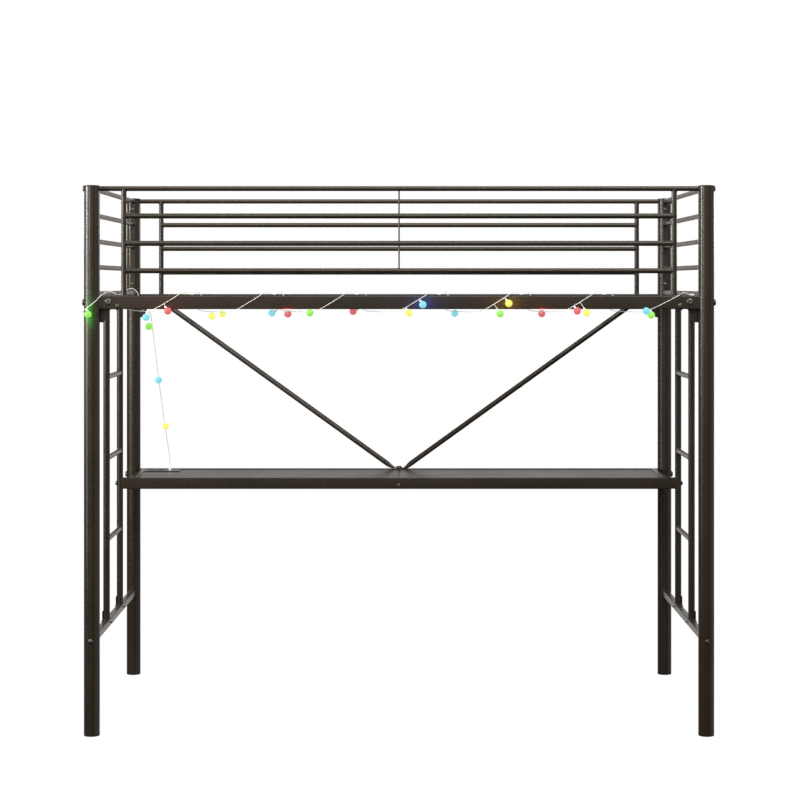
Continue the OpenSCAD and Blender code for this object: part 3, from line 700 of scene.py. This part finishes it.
def make_brackets(node):
    """The gusset plates behind a long rail's ends, with toes below the rail."""
    lo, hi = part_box(node)
    edge, toe, high = hi.x, lo.z, hi.z
    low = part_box("side_rail_front")[0].z + 4 * MM
    outline = [(edge, toe), (edge, high), (edge - BRACKET_W, high), (edge - BRACKET_W, low),
               (edge - TOE_TOP_W, low), (edge - TOE_TOP_W + 6 * MM, low - 8 * MM),
               (edge - TOE_W - 8 * MM, toe + 12 * MM), (edge - TOE_W, toe)]
    outline = softened(outline, 5 * MM)
    brackets = Solid()
    for sx in SIDES:
        y = lo.y if sx < 0 else hi.y
        brackets.plate([outline], hi.y - lo.y, Vector((0, y, 0)), X * sx, Z)
    brackets.finish_coated(node)


for name in FRONT_REAR:
    make_brackets(f"corner_brackets_{name}")

# ---- guard rails ------------------------------------------------------------

TOP_TUBE_R = 8 * MM
UPRIGHT_R = 8.5 * MM
ROD_R = 2.5 * MM
END_TUBE_R = 8 * MM
END_TUBES = 4
END_TOP = 6 * MM                # from the strips' tops down to the top tube's middle
END_PITCH = 82.7 * MM
STRIP_W = 18 * MM
STRIP_T = 3 * MM
rail_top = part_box("side_rail_front")[1].z


def make_guard(name, sy):
    """Top tube, three bars, two uprights and the thin rod of one long side."""
    _, line_y, top_z = mid(f"guard_top_{name}")
    upright_x = size(f"guard_uprights_{name}").x / 2 - UPRIGHT_R
    lo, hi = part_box(f"guard_bars_{name}")
    bar_r = (hi.y - lo.y) / 2
    bar_z = [hi.z - bar_r, (lo.z + hi.z) / 2, lo.z + bar_r]
    uprights = {sx: Rod(Vector((sx * upright_x, line_y, 0)), Z, UPRIGHT_R) for sx in SIDES}
    top_rod = Rod(Vector((0, line_y, top_z)), X, TOP_TUBE_R)

    lone_bar(f"guard_top_{name}", Vector((-ROUGH, line_y, top_z)),
             Vector((ROUGH, line_y, top_z)), circle(TOP_TUBE_R),
             post_rods[-1, sy], post_rods[1, sy])

    bars = Solid()
    for z in bar_z:
        bars.welded(Vector((-ROUGH, line_y, z)), Vector((ROUGH, line_y, z)), circle(bar_r),
                    uprights[-1], uprights[1])
    bars.finish_coated(f"guard_bars_{name}")

    stands = Solid()
    for rod in uprights.values():
        foot = rod.point + Z * rail_top
        stands.welded(foot, rod.point + Z * top_z, circle(UPRIGHT_R), Flat(foot, Z), top_rod)
    stands.finish_coated(f"guard_uprights_{name}")

    lone_bar(f"guard_rod_{name}", Vector((0, line_y, bar_z[-1])),
             Vector((0, line_y, top_z)), circle(ROD_R), None, top_rod)


def make_end_guard(name):
    """Four tubes between two flat strips that are screwed to the posts."""
    node = f"end_guard_{name}"
    lo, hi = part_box(node)
    x = mid(node).x
    ends = [Flat(Vector((0, y, 0)), Y) for y in (lo.y + STRIP_T, hi.y - STRIP_T)]
    guard = Solid()
    for k in range(END_TUBES):
        z = hi.z - END_TOP - k * END_PITCH
        guard.welded(Vector((x, -ROUGH, z)), Vector((x, ROUGH, z)), circle(END_TUBE_R), *ends)
    outline = softened(rectangle(x - STRIP_W / 2, lo.z, x + STRIP_W / 2, hi.z), 4 * MM)
    for y in (lo.y + STRIP_T, hi.y):
        guard.plate([outline], STRIP_T, Vector((0, y, 0)), X, Z)
    guard.finish_coated(node)


for name, sy in FRONT_REAR.items():
    make_guard(name, sy)
for name in LEFT_RIGHT:
    make_end_guard(name)

# ---- ladders ----------------------------------------------------------------

STILE_R = 11 * MM
TAB_W = 20 * MM
TAB_T = 2.5 * MM
TAB_REACH = 26 * MM             # above the low rail, and below the end rail
TAB_ON_RAIL = 28 * MM           # how high the upper tab's foot is


def make_ladder(name):
    """Two stiles and three welded rungs."""
    lo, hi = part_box(f"ladder_stiles_{name}")
    x = (lo.x + hi.x) / 2
    stile_rods = {sy: Rod(Vector((x, sy * (hi.y - STILE_R), 0)), Z, STILE_R) for sy in SIDES}
    stiles = Solid()
    for rod in stile_rods.values():
        stiles.pipe(rod.point + Z * lo.z, rod.point + Z * hi.z, circle(STILE_R))
    stiles.finish_coated(f"ladder_stiles_{name}")

    lo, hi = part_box(f"ladder_rungs_{name}")
    rung_r = (hi.x - lo.x) / 2
    rungs = Solid()
    for z in (lo.z + rung_r, (lo.z + hi.z) / 2, hi.z - rung_r):
        rungs.welded(Vector((x, -ROUGH, z)), Vector((x, ROUGH, z)), circle(rung_r),
                     stile_rods[-1], stile_rods[1])
    rungs.finish_coated(f"ladder_rungs_{name}")


def make_ladder_tabs():
    """Tabs on the stiles' outer sides, with thick feet on the rails' faces."""
    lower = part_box("lower_rail_right")
    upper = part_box("end_rail_right")
    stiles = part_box("ladder_stiles_right")
    out = stiles[1].x
    face = out + TAB_T
    stile_y = stiles[1].y - STILE_R
    shapes = [
        [(lower[1].x, lower[0].z), (face, lower[0].z), (face, lower[1].z + TAB_REACH),
         (out, lower[1].z + TAB_REACH), (out, lower[1].z), (lower[1].x, lower[1].z)],
        [(out, upper[0].z - TAB_REACH), (face, upper[0].z - TAB_REACH),
         (face, upper[0].z + TAB_ON_RAIL), (upper[1].x, upper[0].z + TAB_ON_RAIL),
         (upper[1].x, upper[0].z), (out, upper[0].z)],
    ]
    tabs = Solid()
    for shape in shapes:
        outline = softened(shape, 1.2 * MM, 3)
        for sx in SIDES:
            for sy in SIDES:
                y = sy * stile_y + sx * TAB_W / 2
                tabs.plate([outline], TAB_W, Vector((0, y, 0)), X * sx, Z)
    tabs.finish_coated("ladder_tabs")


for name in LEFT_RIGHT:
    make_ladder(name)
make_ladder_tabs()

# ---- mattress deck ----------------------------------------------------------

SLAT_COUNT = 14
SLAT_W = 30 * MM


def make_deck():
    """Slats across the side rails, the beam under them and its two hangers."""
    lo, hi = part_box("mattress_slats")
    pitch = (hi.x - lo.x - SLAT_W) / (SLAT_COUNT - 1)
    slats = Solid()
    for k in range(SLAT_COUNT):
        centre = Vector((lo.x + SLAT_W / 2 + k * pitch, 0, (lo.z + hi.z) / 2))
        slats.pipe(centre + Y * lo.y, centre + Y * hi.y, section(SLAT_W, hi.z - lo.z, CORNER_R))
    slats.finish_coated("mattress_slats")

    box_bar("centre_beam", X)

    lo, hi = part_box("beam_hangers")
    thickness = hi.x - (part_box("centre_beam")[1].x + 0.1 * MM)
    hangers = Solid()
    outline = softened(rectangle(lo.y, lo.z, hi.y, hi.z), 5 * MM)
    for x in (lo.x, hi.x - thickness):
        hangers.plate([outline], thickness, Vector((x, 0, 0)), Y, Z)
    hangers.finish_coated("beam_hangers")


make_deck()

# ---- desk -------------------------------------------------------------------


def make_desk_frame():
    """The desk's rails, the bar under its seam and the spacers to the ladders."""
    box_bar("desk_front_rail", X)
    box_bar("desk_centre_bar", Y)
    lo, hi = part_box("desk_side_rails")
    thick = size("desk_front_rail").y
    z = (lo.z + hi.z) / 2
    rails = Solid()
    for sx in SIDES:
        x = sx * (hi.x - thick / 2)
        rails.pipe(Vector((x, lo.y, z)), Vector((x, hi.y, z)),
                   section(thick, hi.z - lo.z, CORNER_R))
    rails.finish_coated("desk_side_rails")

    lo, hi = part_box("desk_spacers")
    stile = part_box("ladder_stiles_right")
    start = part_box("desk_front_rail")[1].x
    blocks = Solid()
    for sx in SIDES:
        centre = Vector((sx * start, (lo.y + hi.y) / 2, (lo.z + hi.z) / 2))
        rod = Rod(Vector((sx * (stile[0].x + STILE_R), centre.y, 0)), Z, STILE_R)
        blocks.pipe(centre, centre + X * sx * 10 * MM,
                    section(hi.y - lo.y, hi.z - lo.z, 2 * MM), None, rod)
    blocks.finish_coated("desk_spacers")


OUTLET_HOLE = (117 * MM, 62 * MM)
PANEL_BEVEL = 0.8 * MM


def make_desk_panels():
    """Two panels, the left one with the outlet's cut-out."""
    outlet = mid("outlet_cover")
    half_w, half_l = OUTLET_HOLE[0] / 2, OUTLET_HOLE[1] / 2
    for name, sx in LEFT_RIGHT.items():
        lo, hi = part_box(f"desk_panel_{name}")
        loops = [softened(rectangle(lo.x, lo.y, hi.x, hi.y), 1.5 * MM, 3)]
        if sx < 0:
            hole = rectangle(outlet.x - half_w, outlet.y - half_l,
                             outlet.x + half_w, outlet.y + half_l)
            loops.append(softened(hole, 4 * MM))
        panel = Solid()
        panel.plate(loops, hi.z - lo.z, Vector((0, 0, lo.z)), X, Y, PANEL_BEVEL)
        panel.finish(f"desk_panel_{name}", laminate, "desk_board")


make_desk_frame()
make_desk_panels()

# ---- braces -----------------------------------------------------------------

BRACE_R = 9.3 * MM
EYE_W = 22.6 * MM
EYE_T = 2.5 * MM
EYE_STEPS = 9
BEND_REACH = 14.4 * MM          # from the bolt to where the flat end begins to bend
BEND_STEPS = 14
LOW_ROUND = Vector((46, 20)) * MM       # from the desk's middle and top to the round tube
HIGH_ROUND = Vector((38, 8.4)) * MM     # from the upper bolt and the top, in and down
SWELL = 1.8                     # how fast the flat end rises into the round tube


def eye(centre, towards):
    """The round flat end, from its tip to where it begins to bend."""
    level = Vector((1, 0))
    found = []
    for k in range(EYE_STEPS - 1, -1, -1):
        t = math.pi / 2 * k / EYE_STEPS
        tip = level * towards * EYE_W / 2 * math.sin(t)
        found.append((centre - tip, level, EYE_W * math.cos(t), EYE_T))
    return found + [(centre + level * towards * BEND_REACH, level, EYE_W, EYE_T)]


def bend(flat, round_end, towards, slope):
    """From the flat end into the round tube."""
    a, b = flat + Vector((towards * BEND_REACH, 0)), round_end
    reach = (b - a).length
    leave, arrive = Vector((towards, 0)) * reach, slope * towards * reach
    found = []
    for k in range(1, BEND_STEPS + 1):
        t = k / BEND_STEPS
        along = ((b - a) * (6 * t - 6 * t**2) + leave * (3 * t**2 - 4 * t + 1)
                 + arrive * (3 * t**2 - 2 * t))
        width = EYE_W + (2 * BRACE_R - EYE_W) * (3 * t**2 - 2 * t**3)
        height = EYE_T + (2 * BRACE_R - EYE_T) * (1 - (1 - t) ** SWELL)
        found.append((hermite(a, b, leave, arrive, t), (along * towards).normalized(),
                      width, height))
    return found


def make_brace(name, sx):
    """A tube whose ends are pressed flat, bent level and rounded."""
    lo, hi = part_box(f"brace_{name}")
    y = mid(f"brace_{name}").y
    low_eye = Vector((0, lo.z + EYE_T / 2))
    high_eye = Vector((max(abs(lo.x), abs(hi.x)) - EYE_W / 2, hi.z - EYE_T / 2))
    low_round = Vector((0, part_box("desk_rear_rail")[1].z)) + LOW_ROUND
    high_round = Vector((high_eye.x, hi.z)) - HIGH_ROUND
    slope = (high_round - low_round).normalized()
    low_end = eye(low_eye, 1) + bend(low_eye, low_round, 1, slope)
    high_end = eye(high_eye, -1) + bend(high_eye, high_round, -1, slope)
    rings = []
    for at, along, width, height in low_end + high_end[::-1]:
        centre = Vector((sx * at.x, y, at.y))
        direction = Vector((sx * along.x, 0, along.y))
        u, v, _ = axes(direction)
        outline = section(width, height, min(width, height) / 2)
        rings.append([centre + u * s + v * t for s, t in outline])
    brace = Solid()
    brace.loft(rings)
    brace.finish_coated(f"brace_{name}")


for name, sx in LEFT_RIGHT.items():
    make_brace(name, sx)

# ---- fasteners --------------------------------------------------------------


def solids(node):
    """The boxes of a CAD node's separate solids."""
    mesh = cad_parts[node].data
    keys = [tuple(round(c, 5) for c in v.co) for v in mesh.vertices]
    parent = {k: k for k in keys}

    def root(k):
        while parent[k] != k:
            parent[k] = parent[parent[k]]
            k = parent[k]
        return k

    for polygon in mesh.polygons:
        corners = [root(keys[i]) for i in polygon.vertices]
        for k in corners[1:]:
            parent[root(k)] = root(corners[0])
    groups = {}
    for k in parent:
        groups.setdefault(root(k), []).append(k)
    boxes = []
    for points in groups.values():
        boxes.append((Vector([min(p[i] for p in points) for i in range(3)]),
                      Vector([max(p[i] for p in points) for i in range(3)])))
    return boxes


HEAD_STEPS = 9


def add_bolt(solid, top, direction, head_d, head_h, length):
    """A low domed head with a hex socket; top is the head's outer end."""
    head_r = head_d / 2
    shank_r = head_d * 0.19
    socket = head_d * 0.36
    mouth_r = socket * 0.62
    rim_z = head_h * 0.16
    profile = [(shank_r, head_h - length), (shank_r, 0.02 * MM), (head_r - 0.4 * MM, 0),
               (head_r, 0.3 * MM), (head_r, rim_z)]
    for k in range(1, HEAD_STEPS):
        t = k / HEAD_STEPS
        r = head_r + (mouth_r - head_r) * t
        profile.append((r, rim_z + (head_h - rim_z) * math.sqrt(1 - (1 - t) ** 2)))
    profile += [(mouth_r, head_h), (hexagon(socket), head_h - 0.3 * MM),
                (hexagon(socket), head_h * 0.4)]
    solid.turned(profile, top - direction * head_h, direction)


def add_nut(solid, lo, hi, axis):
    """A hexagon nut with eased edges."""
    k = "xyz".index(axis)
    direction = (X, Y, Z)[k]
    height = hi[k] - lo[k]
    across = min(d for i, d in enumerate(hi - lo) if i != k)
    foot = (lo + hi) / 2 - direction * height / 2
    edge = 0.4 * MM
    solid.turned([(hexagon(across * 0.94), 0), (hexagon(across), edge),
                  (hexagon(across), height - edge), (hexagon(across * 0.94), height)],
                 foot, direction)


FASTENERS = {                   # head height, the head's axis, and whether it points outwards
    "rail_bolts": (6, "x", 1), "guard_bolts": (4.5, "x", 1), "ladder_bolts": (4, "x", 1),
    "desk_bolts": (5.5, "x", 1), "rail_face_bolts": (3.2, "y", 1), "rail_screws": (2.6, "y", 1),
    "lower_rail_bolts": (4, "y", 1), "end_guard_screws": (2.8, "y", -1),
    "desk_screw": (3, "y", -1), "brace_bolts": (4.5, "z", 1),
}
NUT_MOST = 8 * MM               # a nut is lower than this, and a bolt is longer


def make_fasteners(node, head_h, axis, outwards):
    """A bolt or a nut in each of the CAD node's solids."""
    heads = Solid()
    k = "xyz".index(axis)
    for lo, hi in solids(node):
        if hi[k] - lo[k] < NUT_MOST:
            add_nut(heads, lo, hi, axis)
            continue
        centre = (lo + hi) / 2
        sign = outwards * (1 if centre[k] > 0 else -1)
        if axis == "z":         # the middle bolt's head is up, and the two under the rail are down
            sign = 1 if abs(centre.x) < 0.1 else -1
        direction = (X, Y, Z)[k] * sign
        across = [d for i, d in enumerate(hi - lo) if i != k]
        top = centre.copy()
        top[k] = hi[k] if sign > 0 else lo[k]
        add_bolt(heads, top, direction, max(across), head_h, hi[k] - lo[k])
    heads.finish(node, plated, "bolt_steel")


for node, (head_h, axis, outwards) in FASTENERS.items():
    make_fasteners(node, head_h * MM, axis, outwards)

# ---- power outlet -----------------------------------------------------------

SOCKET_X = (-40 * MM, -6 * MM)  # the sockets' middles, from the cover's
SOCKET_R = 15.5 * MM
SOCKET_RIM = ((0, -0.4), (0, 0.3), (0.3, 0.6), (0.7, 0.6), (1, 0.3), (1, -0.4))     # in mm
SLOT_Y = 6.4 * MM
PIN_X, PIN_R = 6 * MM, 2.5 * MM
PORT_X, PORT_Y = 26.5 * MM, 11 * MM
PORT_W, PORT_L = 5.2 * MM, 12.8 * MM
TONGUE = section(1.8 * MM, 10.4 * MM, 0.3 * MM)


def round_points(count):
    """Points round a circle of radius 1."""
    angles = [2 * math.pi * k / count for k in range(count)]
    return [(math.cos(t), math.sin(t)) for t in angles]


def make_outlet():
    """A cover with two sockets and two charging ports."""
    lo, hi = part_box("outlet_cover")
    middle = (lo + hi) / 2
    loops = [softened(rectangle(lo.x, lo.y, hi.x, hi.y), 10 * MM, 8)]
    for x in SOCKET_X:
        cx = middle.x + x
        for cy in (middle.y - SLOT_Y, middle.y + SLOT_Y):
            loops.append(rectangle(cx - 6 * MM, cy - 1 * MM, cx + 2 * MM, cy + 1 * MM))
        loops.append([(cx + PIN_X + PIN_R * c, middle.y + PIN_R * s)
                      for c, s in round_points(24)])
    ports = [(middle.x + PORT_X, middle.y - PORT_Y), (middle.x + PORT_X, middle.y + PORT_Y)]
    for cx, cy in ports:
        loops.append(rectangle(cx - PORT_W / 2, cy - PORT_L / 2, cx + PORT_W / 2, cy + PORT_L / 2))
    cover = Solid()
    cover.plate(loops, hi.z - lo.z, Vector((0, 0, lo.z)), X, Y, 0.25 * MM)
    for x in SOCKET_X:
        foot = Vector((middle.x + x, middle.y, hi.z))
        cover.loft([[foot + Vector((c, s, 0)) * (SOCKET_R + r * MM) + Z * z * MM
                     for r, z in SOCKET_RIM] for c, s in round_points(ROUND)], loop=True)
    for cx, cy in ports:
        cover.turned([(TONGUE, -4 * MM), (TONGUE, 1.2 * MM)], Vector((cx, cy, lo.z)), Z)
    cover.finish("outlet_cover", outlet_plastic, "outlet_plastic")


make_outlet()
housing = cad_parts["outlet_housing"].data         # it keeps its CAD shape
housing.materials.clear()
housing.materials.append(outlet_plastic)

# ---- floor, lights and backdrop ---------------------------------------------

FLOOR_HALF = 14
LIGHT_TINT = (1.0, 0.97, 0.92)
PATCHES = (                     # direction, where it fades out, where it is full, strength
    ((0, 1, 0.05), 0.6, 0.95, 0.42),
    ((0, 1, -0.06), 0.95, 0.982, 0.36),
    ((1, 0, 0.1), 0.5, 0.9, 0.36),
    ((-1, 0, 0.1), 0.5, 0.9, 0.06),
    ((0, -1, 0.45), 0.8, 0.93, 0.5),
)
LAMPS = (                       # name, place, target, width, height, power, and one group
    ("key_far", (-5.0, -1.8, 1.98), (0, -0.5, 1.6), 0.5, 0.5, 48),
    ("key_high", (-2.5, -1.15, 2.2), (-0.5, -0.4, 1.7), 0.3, 0.7, 24),
    ("key_middle", (-2.5, -1.15, 1.45), (-0.5, -0.4, 1.3), 0.3, 0.7, 10),
    ("key_low", (-2.5, -1.15, 0.7), (-0.5, -0.4, 0.7), 0.3, 0.7, 3.6),
    ("left_wide", (-3.2, -0.6, 1.6), (0, 0, 1.4), 1.6, 1.6, 10),
    ("front_left", (-3.6, -5.0, 2.2), (0, 0, 1.2), 1.5, 1.5, 55),
    ("front_high", (0, -4.5, 4.2), (0, 0, 1.4), 3.0, 1.6, 94),
    ("brace_fill", (-1.2, -1.6, 0.9), (-0.4, 0.53, 1.05), 1.6, 1.6, 16, "brace"),
    ("above", (0, -0.4, 4.2), (0, 0, 1.4), 2.6, 1.6, 60),
    ("rear_right", (3.4, 4.6, 2.6), (0, 0, 1.0), 2.0, 2.0, 60),
    ("rear_left", (-3.4, 4.6, 2.6), (0, 0, 1.0), 2.0, 2.0, 45),
    ("upper_right", (2.4, -2.6, 4.4), (-0.6, 0.5, 1.1), 1.8, 1.8, 90),
)
GLOW_COLOUR = {                 # what a ball throws on the steel beside it
    "red": (0.5, 0.01, 0.01), "green": (0.02, 1, 0.02),
    "blue": (0.02, 0.2, 2.0), "yellow": (1, 0.55, 0.02),
}
GLOWS = (                       # colour, place in mm, power, and the group it shines on
    ("green", (-979, -542, 1333), 0.9, "corner"),
    ("red", (-729, -525, 1343), 0.5, "rail"),
    ("red", (-353, -522, 1333), 0.4, "rail"),
    ("red", (453, -522, 1334), 0.35, "rail"),
    ("blue", (75, -526, 1363), 0.5, "rail"),
    ("yellow", (346, -526, 1367), 0.5, "rail"),
)


def make_floor():
    """A white floor that the camera sees, and that throws no light on the object."""
    mesh = bpy.data.meshes.new("floor")
    outline = rectangle(-FLOOR_HALF, -FLOOR_HALF, FLOOR_HALF, FLOOR_HALF)
    mesh.from_pydata([(x, y, 0) for x, y in outline], [], [range(4)])
    floor = bpy.data.objects.new("floor", mesh)
    material, _, _ = new_material("floor_white", Roughness=0.9, Base_Color=(0, 0, 0, 1),
                                  Specular_IOR_Level=0, Emission_Color=(1, 1, 1, 1),
                                  Emission_Strength=1)
    mesh.materials.append(material)
    scene.collection.objects.link(floor)
    floor.visible_diffuse = floor.visible_glossy = floor.visible_shadow = False


def area_light(name, place, target, width, height, power, only=None):
    """A lamp at place that faces target; only is the one group it shines on."""
    data = bpy.data.lights.new(name, "AREA")
    data.shape = "RECTANGLE"
    data.size, data.size_y = width, height
    data.energy = power
    data.color = LIGHT_TINT
    lamp = bpy.data.objects.new(name, data)
    lamp.location = place
    lamp.rotation_euler = (Vector(target) - Vector(place)).to_track_quat("-Z", "Y").to_euler()
    if only:
        lamp.light_linking.receiver_collection = lit_groups[only]
    scene.collection.objects.link(lamp)


def bulb_light(name, colour, place, power, only):
    """A small lamp that tints one group near its ball, which doesn't block it."""
    data = bpy.data.lights.new(name, "POINT")
    data.energy = power
    data.color = GLOW_COLOUR[colour]
    data.shadow_soft_size = BULB_R * 0.8
    lamp = bpy.data.objects.new(name, data)
    lamp.location = Vector(place) * MM
    lamp.light_linking.receiver_collection = lit_groups[only]
    lamp.light_linking.blocker_collection = lit_groups[only]
    scene.collection.objects.link(lamp)


def make_world(patches):
    """White to the camera, and soft patches of light on the object from some sides."""
    world = bpy.data.worlds.new("studio")
    scene.world = world
    world.use_nodes = True
    tree = world.node_tree
    tree.nodes.clear()
    place = tree.nodes.new("ShaderNodeTexCoord").outputs["Generated"]
    total = None
    for direction, low, high, strength in patches:
        dot = tree.nodes.new("ShaderNodeVectorMath")
        dot.operation = "DOT_PRODUCT"
        dot.inputs[1].default_value = Vector(direction).normalized()
        tree.links.new(place, dot.inputs[0])
        fade = tree.nodes.new("ShaderNodeMapRange")
        fade.interpolation_type = "SMOOTHSTEP"
        fade.inputs["From Min"].default_value = low
        fade.inputs["From Max"].default_value = high
        fade.inputs["To Max"].default_value = strength
        tree.links.new(dot.outputs["Value"], fade.inputs["Value"])
        add = tree.nodes.new("ShaderNodeMath")
        tree.links.new(fade.outputs["Result"], add.inputs[0])
        add.inputs[1].default_value = 0
        if total:
            tree.links.new(total, add.inputs[1])
        total = add.outputs[0]
    soft = tree.nodes.new("ShaderNodeBackground")
    soft.inputs["Color"].default_value = (*LIGHT_TINT, 1)
    tree.links.new(total, soft.inputs["Strength"])
    seen = tree.nodes.new("ShaderNodeBackground")
    seen.inputs["Color"].default_value = (1, 1, 1, 1)
    path = tree.nodes.new("ShaderNodeLightPath")
    mix = tree.nodes.new("ShaderNodeMixShader")
    out = tree.nodes.new("ShaderNodeOutputWorld")
    tree.links.new(path.outputs["Is Camera Ray"], mix.inputs["Fac"])
    tree.links.new(soft.outputs[0], mix.inputs[1])
    tree.links.new(seen.outputs[0], mix.inputs[2])
    tree.links.new(mix.outputs[0], out.inputs["Surface"])


make_floor()
make_world(PATCHES)
for lamp in LAMPS:
    area_light(*lamp)
for number, glow in enumerate(GLOWS):
    bulb_light(f"glow_{number}", *glow)
